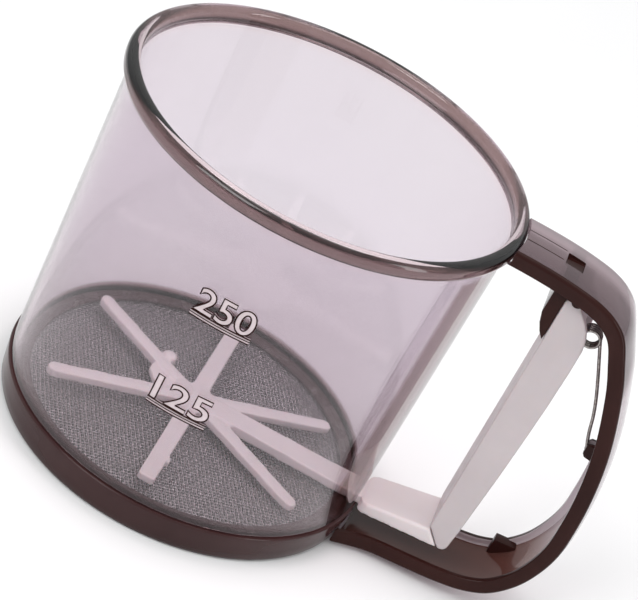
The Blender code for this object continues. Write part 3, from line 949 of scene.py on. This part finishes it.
# ---------------- trigger and pins
def make_trigger(finish):
    """Squeeze lever: a deep channel, open towards the grip, with a window for the tongue."""
    outline = [(67.5, 15.7), (67.5, 89.4)]
    outline += arc(*PIVOT, 1.4, 165, 0, 16)
    outline += [
        (71.6, 90.2), (71.9, 89.2), (72.9, 88.1), (74.4, 86.5), (75.7, 84.6), (76.7, 82.2), (77.15, 79.5),
        (77.2, 73.0), (77.0, 62.0), (76.5, 50.0), (75.9, 38.0), (74.6, 18.0), (74.0, 12.0), (73.4, 11.1),
        (72.6, 10.8), (71.7, 10.8),
    ]
    lever = raw("lever", *side_prism(outline, -TRIGGER_HALF, TRIGGER_HALF))
    inner = TRIGGER_HALF - CHEEK
    channel = [(69.5, 6.0), (69.5, 84.0), (71.4, 86.6), (84.0, 86.6), (84.0, 6.0)]
    combine(lever, raw("channel", *side_prism(channel, -inner, inner)), "DIFFERENCE")
    combine(lever, raw("window", *block(65.0, 72.0, -inner, inner, 6.0, 15.2)), "DIFFERENCE")
    bore = cross_rod(*PIVOT, [(-CUT_HALF, PIVOT_BORE_R), (CUT_HALF, PIVOT_BORE_R)])
    combine(lever, raw("bore", *bore), "DIFFERENCE")
    reach = TRIGGER_HALF - 0.35
    bore = cross_rod(*HINGE, [(-reach, HINGE_BORE_R), (reach, HINGE_BORE_R)])
    combine(lever, raw("bore", *bore), "DIFFERENCE")
    parts = [lever]
    for z in RIBS_AT:       # stiffening ribs inside the channel, clear of the spring's leg
        parts.append(raw("rib", *block(69.2, 71.6, -inner - 0.2, inner + 0.2, z, z + RIB_THICK)))
    trigger = moulded(join(parts, "trigger_lever"), SKIN_VOXEL, SKIN_PASSES)
    return finish_piece(trigger, "trigger", ["trigger"], finish, smooth=180.0)


def make_pin(name, centre, radius, reach, body, node, finish):
    """A drawn pin with domed ends."""
    dome = [(0.0, 0.45), (0.05, 0.75), (0.15, 0.93), (0.3, 1.0)]
    sections = [(-reach + depth, radius * share) for depth, share in dome]
    sections += [(reach - depth, radius * share) for depth, share in reversed(dome)]
    pin = raw(name, *cross_rod(*centre, sections))
    return finish_piece(pin, body, [node], finish)


# ---------------- handle
def handle_section(half, crown, near, far):
    """(across, outward, finish) round a channel that opens inwards.

    Finish 0 is the web, 1 the flanges' outer faces and 2 their inner faces.
    """
    t = HANDLE_WALL
    r = 1.1         # outer corners
    ends = 0.35     # edges of the sides
    section = [(u, v, 1) for u, v in arc(-half + ends, -near + ends, ends, -90, -180, 3)]
    section += [(u, v, 1) for u, v in arc(-half + r, -r, r, 180, 90, 6)]
    edge = half - r
    for i in range(1, 12):
        y = -1.0 + 2.0 * i / 12
        section.append((y * edge, crown * (1 - y * y), 0))
    section += [(u, v, 0) for u, v in arc(half - r, -r, r, 90, 0, 6)]
    section += [(u, v, 1) for u, v in arc(half - ends, -far + ends, ends, 0, -90, 3)]
    section.append((half - t + 0.2, -far, 2))
    section.append((half - t, -far + 0.2, 2))
    section += [(u, v, 2) for u, v in arc(half - t - 0.5, -t - 0.5, 0.5, 0, 90, 3)]
    edge = half - t - 0.5
    for i in range(1, 8):
        y = 1.0 - 2.0 * i / 8
        section.append((y * edge, -t + crown * (1 - y * y), 0))
    section += [(u, v, 2) for u, v in arc(-half + t + 0.5, -t - 0.5, 0.5, 90, 180, 3)]
    section.append((t - half, -near + 0.2, 2))
    section.append((t - half - 0.2, -near, 2))
    return section


def handle_channel(finishes):
    """The loop itself: a channel swept along its middle line, from the rim to the base."""
    knots = [
        (45.5, 95.9), (56.5, 95.9), (64.0, 95.6), (70.0, 95.0), (75.5, 94.0), (80.2, 92.1), (84.2, 88.7),
        (87.6, 82.5), (90.8, 75.4), (94.7, 63.8), (97.0, 54.0), (98.4, 44.0), (98.9, 35.0), (98.7, 27.5),
        (97.1, 20.6), (94.0, 13.8), (89.0, 8.0), (83.0, 4.9), (76.0, 3.4), (68.5, 2.6), (57.0, 1.7),
        (52.0, 1.3), (44.0, 0.95),
    ]
    path = smooth_path(knots, 6)
    rings = []
    tones = []
    for i, p in enumerate(path):
        along = (path[min(i + 1, len(path) - 1)] - path[max(i - 1, 0)]).normalized()
        out = Vector((-along.y, along.x))
        share = i / (len(path) - 1)
        crown = 0.6 + 0.8 * math.sin(math.pi * min(max((share - 0.25) / 0.6, 0.0), 1.0))
        flare = min(max((60.0 - p.x) / 12.0, 0.0), 1.0) if share > 0.5 else 0.0
        half = HANDLE_HALF[0] + (HANDLE_HALF[1] - HANDLE_HALF[0]) * share
        half += (HANDLE_ROOT_HALF - half) * flare ** 2
        section = handle_section(half, crown, *FLANGE_DEPTH)
        tones = [tone for u, v, tone in section]
        rings.append([(p.x + out.x * v, u, p.y + out.y * v) for u, v, tone in section])
    handle = raw("handle_grip", *lofted(rings))
    for finish in finishes:
        handle.data.materials.append(finish)
    count = len(tones)
    for index, face in enumerate(handle.data.polygons):
        j = index % count
        face.material_index = min(tones[j], tones[(j + 1) % count])
    return handle


def make_handle(*finishes):
    """The loop handle with its ear, bosses, stop, clip, pocket and grooves.

    The finishes are the web's, the sides' outer faces' and the sides' inner faces'.
    """
    handle = handle_channel(finishes)

    def flange_part(name, points, faces, soften=0.3):
        """A softened solid whose faces, added or cut, take the sides' outer finish."""
        part = raw(name, points, faces)
        rounded(part, soften, 2)
        part.data.materials.clear()
        for finish in finishes:
            part.data.materials.append(finish)
        for face in part.data.polygons:
            face.material_index = 1
        return part

    ear = [
        (64.0, 95.0), (63.9, 84.0), (64.7, 81.2), (65.8, 79.0), (67.2, 77.2), (67.4, 79.4),
        (67.4, 84.0), (67.6, 95.0),
    ]
    ear = side_prism(ear, EAR_GAP - TRIGGER_HALF, TRIGGER_HALF - EAR_GAP)
    combine(handle, flange_part("ear", *ear, 0.25), "UNION")
    for y0, y1 in ((-BOSS_Y[1], -BOSS_Y[0]), BOSS_Y):
        boss = cross_rod(*PIVOT, [(y0, BOSS_R), (y1, BOSS_R)])
        combine(handle, flange_part("boss", *boss, 0.1), "UNION")
    wedge = [(84.7, 6.0), (90.9, 11.0), (90.9, 12.2), (84.9, 11.6)]
    combine(handle, flange_part("stop", *side_prism(wedge, *STOP_Y)), "UNION")
    clip = [(91.0, 51.8), (91.7, 50.9), (97.4, 50.3), (96.8, 55.2), (91.7, 54.8), (91.0, 54.0)]
    combine(handle, flange_part("clip", *side_prism(clip, -CLIP_HALF, CLIP_HALF), 0.25), "UNION")

    bore = cross_rod(*PIVOT, [(-9.75, PIVOT_BORE_R), (9.75, PIVOT_BORE_R)])
    combine(handle, raw("bore", *bore), "DIFFERENCE")
    combine(handle, raw("slot", *block(*SPRING_SLOT)), "DIFFERENCE")
    combine(handle, flange_part("pocket", *block(*POCKET), 0.2), "DIFFERENCE")
    for y in GROOVES_AT:
        groove = block(*GROOVE_X, y - GROOVE_HALF, y + GROOVE_HALF, GROOVE_LOW, ABOVE_ALL)
        combine(handle, flange_part("groove", *groove, 0.03), "DIFFERENCE")
    cup = [(RING_R, -4.0), (RING_R, REBATE_Z), (WALL_TOP_R, 91.3), (RIM_R, 92.4), (RIM_R, 101.0)]
    rings = []
    for r, z in cup:
        rings.append([(x, y, z) for x, y in circle(0.0, 0.0, r + CUP_CLEAR, STEPS)])
    combine(handle, raw("clearance", *lofted(rings)), "DIFFERENCE")
    handle.data.shade_smooth()
    handle.data.set_sharp_from_angle(angle=math.radians(35.0))
    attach(handle, "sifter")
    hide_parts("handle")
    return handle


# ---------------- return spring
def make_spring(finish):
    """A hairpin torsion spring, from the trigger's channel to the handle's clip."""
    cx, cz = COIL
    y0 = -COIL_PITCH * COIL_TURNS / 2
    path = [(73.4, y0, 62.6), (73.2, y0, 63.6)]     # the inner leg, in the trigger's channel
    steps = int(COIL_TURNS * 40)
    end = COIL_START + COIL_LEG_TURN - 360.0 * (COIL_TURNS + 0.03)
    for i in range(steps + 1):
        t = i / steps
        a = math.radians(COIL_START + (end - COIL_START) * t)
        path.append((cx + COIL_R * math.cos(a), y0 - 2 * y0 * t, cz + COIL_R * math.sin(a)))
    leg = [
        (81.6, -y0, 77.3), (84.5, -y0 * 0.8, 71.2), (87.0, -y0 * 0.55, 65.6), (88.7, -y0 * 0.35, 61.0),
        (89.8, -y0 * 0.15, 57.0), (90.9, 0.0, 53.9), (91.5, 0.0, 52.9), (92.3, 0.0, 52.6), (93.0, 0.0, 53.0),
        (93.2, 0.0, 53.8),
    ]
    path += [tuple(p) for p in smooth_path(leg, 4)]
    path = [Vector(p) for p in path]
    rings = []
    sides = 12
    across = Vector((0.0, 1.0, 0.0))
    for i, p in enumerate(path):
        along = (path[min(i + 1, len(path) - 1)] - path[max(i - 1, 0)]).normalized()
        across = (across - along * across.dot(along)).normalized()
        up = along.cross(across)
        ring = []
        for j in range(sides):
            a = 2 * math.pi * j / sides
            ring.append(tuple(p + WIRE_R * (across * math.cos(a) + up * math.sin(a))))
        rings.append(ring)
    spring = raw("spring_wire", *lofted(rings))
    return finish_piece(spring, "sifter", ["return_spring"], finish, smooth=60.0)


# ---------------- studio
def make_floor(finish):
    """A wide pale floor a hair under the base."""
    half = FLOOR_HALF
    floor = raw("studio_floor", *block(-half, half, -half, half, -FLOOR_THICK, -FLOOR_GAP))
    floor.data.materials.append(finish)


def make_world():
    """Soft white surroundings, darker from the horizon down, for the plastic's dark edges."""
    world = bpy.data.worlds.new("studio")
    bpy.context.scene.world = world
    world.use_nodes = True
    tree = world.node_tree
    sky = tree.nodes["Background"]
    coords = tree.nodes.new("ShaderNodeTexCoord")
    split = tree.nodes.new("ShaderNodeSeparateXYZ")
    ramp = tree.nodes.new("ShaderNodeValToRGB")
    ramp.color_ramp.elements[0].position = 0.0
    ramp.color_ramp.elements[0].color = (0.60, 0.60, 0.61, 1.0)
    ramp.color_ramp.elements[1].position = 0.75
    ramp.color_ramp.elements[1].color = (1.0, 1.0, 1.0, 1.0)
    tree.links.new(coords.outputs["Generated"], split.inputs[0])
    tree.links.new(split.outputs["Z"], ramp.inputs["Fac"])
    tree.links.new(ramp.outputs["Color"], sky.inputs["Color"])
    sky.inputs["Strength"].default_value = 0.8


def softbox(name, at, size, power):
    """A rectangular area light, turned to the sifter's middle."""
    data = bpy.data.lights.new(name, "AREA")
    data.shape = "RECTANGLE"
    data.size, data.size_y = size
    data.energy = power
    lamp = bpy.data.objects.new(name, data)
    lamp.location = at
    lamp.rotation_mode = "QUATERNION"
    lamp.rotation_quaternion = (Vector(STUDIO_MIDDLE) - Vector(at)).to_track_quat("-Z", "Y")
    bpy.context.scene.collection.objects.link(lamp)


def make_camera():
    """The photograph's view: aimed, rolled, and shifted to its framing."""
    data = bpy.data.cameras.new("photo_camera")
    data.sensor_fit = "HORIZONTAL"
    data.sensor_width = 36.0
    data.lens = CAMERA_LENS
    data.shift_x, data.shift_y = CAMERA_SHIFT
    data.clip_start = 0.02
    data.clip_end = 20.0
    camera = bpy.data.objects.new("photo_camera", data)
    a, e = math.radians(CAMERA_TURN), math.radians(CAMERA_RISE)
    back = Vector((math.sin(a) * math.cos(e), -math.cos(a) * math.cos(e), math.sin(e)))
    right = Vector((math.cos(a), math.sin(a), 0.0))
    up = back.cross(right)
    roll = math.radians(CAMERA_ROLL)
    tilted = right * math.cos(roll) + up * math.sin(roll)
    axes = Matrix((tilted, back.cross(tilted), back)).transposed().to_4x4()
    camera.matrix_world = Matrix.Translation((CAMERA_AIM + back * CAMERA_AWAY) * MM) @ axes
    bpy.context.scene.collection.objects.link(camera)
    bpy.context.scene.camera = camera


def main():
    """Materials, pieces and studio."""
    tinted = cup_plastic()
    marks = mark_plastic()
    dark = dark_plastic("tinted_base", (0.034, 0.013, 0.013), (0.06, 0.027, 0.027), 0.15, 0.1, 0.22)
    clamp = dark_plastic("tinted_clamp", (0.06, 0.034, 0.036), (0.09, 0.055, 0.058), 0.1, 0.22, 0.3)
    web = web_plastic()
    inner = dark_plastic("tinted_inner", (0.50, 0.44, 0.47), (0.62, 0.56, 0.59), 0.35, 0.06)
    # Near-black painted shade, for the outer faces of the handle's flanges and the edges of the marks.
    flange = dark_plastic("near_black_shade", (0.019, 0.0055, 0.0045), (0.034, 0.011, 0.009), 0.1, 0.09, 0.1)
    # The trigger's copy of the pale plastic is darker than the star's: painted shade.
    pale = pale_plastic("pale_trigger_shaded", (0.47, 0.42, 0.43), (0.53, 0.475, 0.485))
    star = pale_plastic("pale_star", (0.64, 0.58, 0.585), (0.71, 0.645, 0.655))
    cloth = steel("woven_wire", (0.44, 0.405, 0.41), (0.76, 0.71, 0.72), 0.18)
    # The under weave's near-black steel is painted shade, which darkens the sieve's holes.
    under = steel("under_wire_shade", (0.022, 0.017, 0.018), (0.045, 0.036, 0.038), 0.4)
    bright = steel("spring_wire_steel", (0.14, 0.12, 0.115), (0.42, 0.39, 0.37), 0.16, (1.0, 0.2, 1.0))
    drawn = steel("pin_wire_steel", (0.55, 0.55, 0.55), (0.75, 0.75, 0.75), 0.28, (1.0, 0.1, 1.0))

    make_cup(tinted)
    for text, line_z in MARKS:
        make_numerals(text, line_z, marks, flange)
    make_base_ring(dark)
    make_retaining_ring(clamp)
    make_weave("sieve_weave", SIEVE_MID_Z, SIEVE_R, 0.0, ["sieve_mesh"], cloth)
    make_weave("sieve_under_weave", SIEVE_MID_Z - WEAVE_THICK, UNDER_WEAVE_R, 0.5, [], under)
    make_agitator(star)
    make_trigger(pale)
    make_pin("pivot_pin", PIVOT, PIVOT_PIN_R, PIN_BOX[1].y, "sifter", "trigger_pivot_pin", drawn)
    make_pin("lower_pin", HINGE, HINGE_PIN_R, HINGE_BOX[1].y, "trigger", "hinge_pin", drawn)
    make_handle(web, flange, inner)
    make_spring(bright)

    make_floor(floor_paint())
    make_world()
    for light in LIGHTS:
        softbox(*light)
    make_camera()
    bpy.context.scene.view_settings.view_transform = "Standard"


main()
